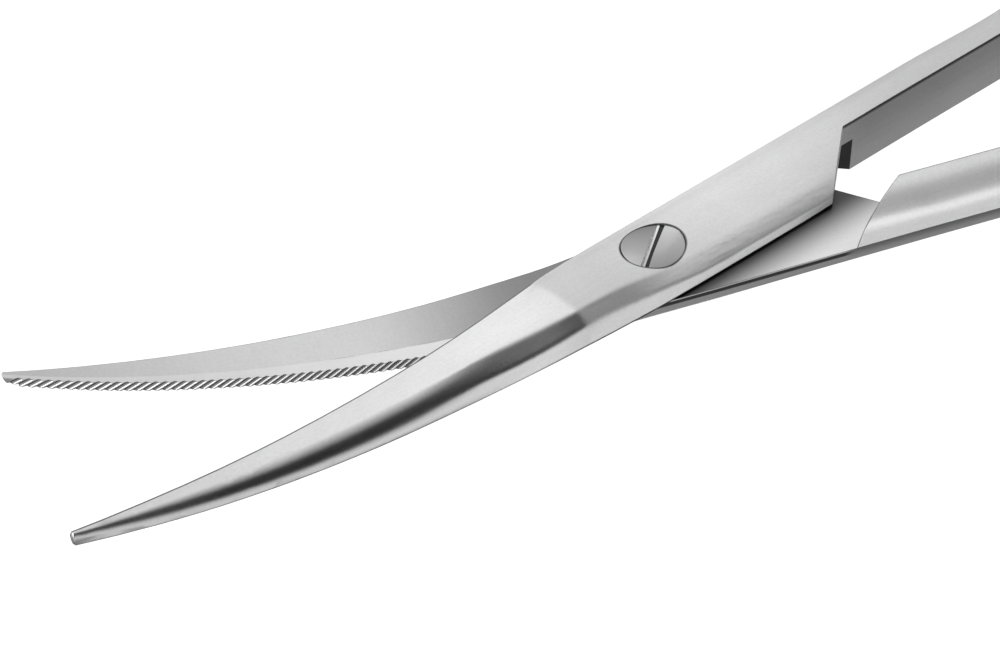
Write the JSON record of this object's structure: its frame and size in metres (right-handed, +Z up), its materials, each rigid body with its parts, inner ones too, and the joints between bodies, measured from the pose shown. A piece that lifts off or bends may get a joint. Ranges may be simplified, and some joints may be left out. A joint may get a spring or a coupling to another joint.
{
  "type": "suture scissors",
  "caption": "Curved suture scissors with a serrated rear blade, lap joint with a flush slotted screw and two oval finger rings.",
  "frame": {"origin": "pivot axis at the flat underside of the rear half", "axes": "+X along the middle line between the two handles, towards the finger rings; +Z up along the pivot axis, towards the screw head; +Y towards the ring of the front half"},
  "size_m": [0.1411, 0.0798, 0.0119],
  "materials": {
    "satin_steel": "satin brushed",
    "screw_steel": "brushed"
  },
  "bodies": {
    "rear": {"rear_half": "satin_steel", "pivot_screw": "screw_steel"},
    "front": {"front_half": "satin_steel"}
  },
  "joints": [
    {"name": "pivot", "type": "hinge", "parent": "rear", "child": "front", "pos_m": [0, 0, 0], "axis": [0, 0, 1], "range_deg": [-18.2, 40]}
  ]
}
